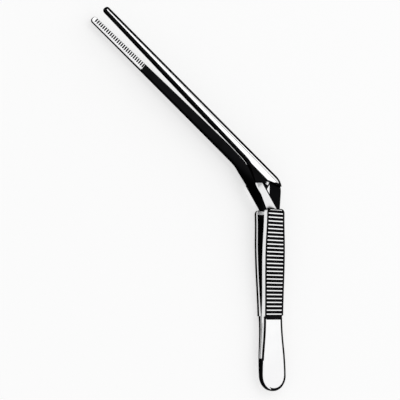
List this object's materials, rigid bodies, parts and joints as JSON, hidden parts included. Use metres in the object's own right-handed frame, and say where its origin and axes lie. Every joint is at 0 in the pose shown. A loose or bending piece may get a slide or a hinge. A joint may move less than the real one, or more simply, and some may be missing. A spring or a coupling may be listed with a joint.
{
  "type": "dressing forceps",
  "caption": "Slender angled dressing forceps: two spring arms welded at a rounded heel, ribbed thumb grips, and long tapering fingers with serrated jaws.",
  "frame": {"origin": "middle of the lower arm's ribbed grip, on the outer face that the forceps lie on", "axes": "+Y along the handle from the heel towards the jaws, +Z from the lower arm to the upper arm; the fingers bend towards -X"},
  "size_m": [0.0839, 0.1447, 0.0157],
  "materials": {
    "steel": "satin"
  },
  "bodies": {
    "lower_arm": {"lower_arm": "steel"},
    "upper_arm": {"upper_arm": "steel"}
  },
  "joints": [
    {"name": "upper_arm_flex", "type": "hinge", "parent": "lower_arm", "child": "upper_arm", "pos_m": [0, -0.02119, 0.0044], "axis": [1, 0, 0], "range_deg": [-5.3, 0], "stiffness_Nm_per_rad": 0.8}
  ]
}
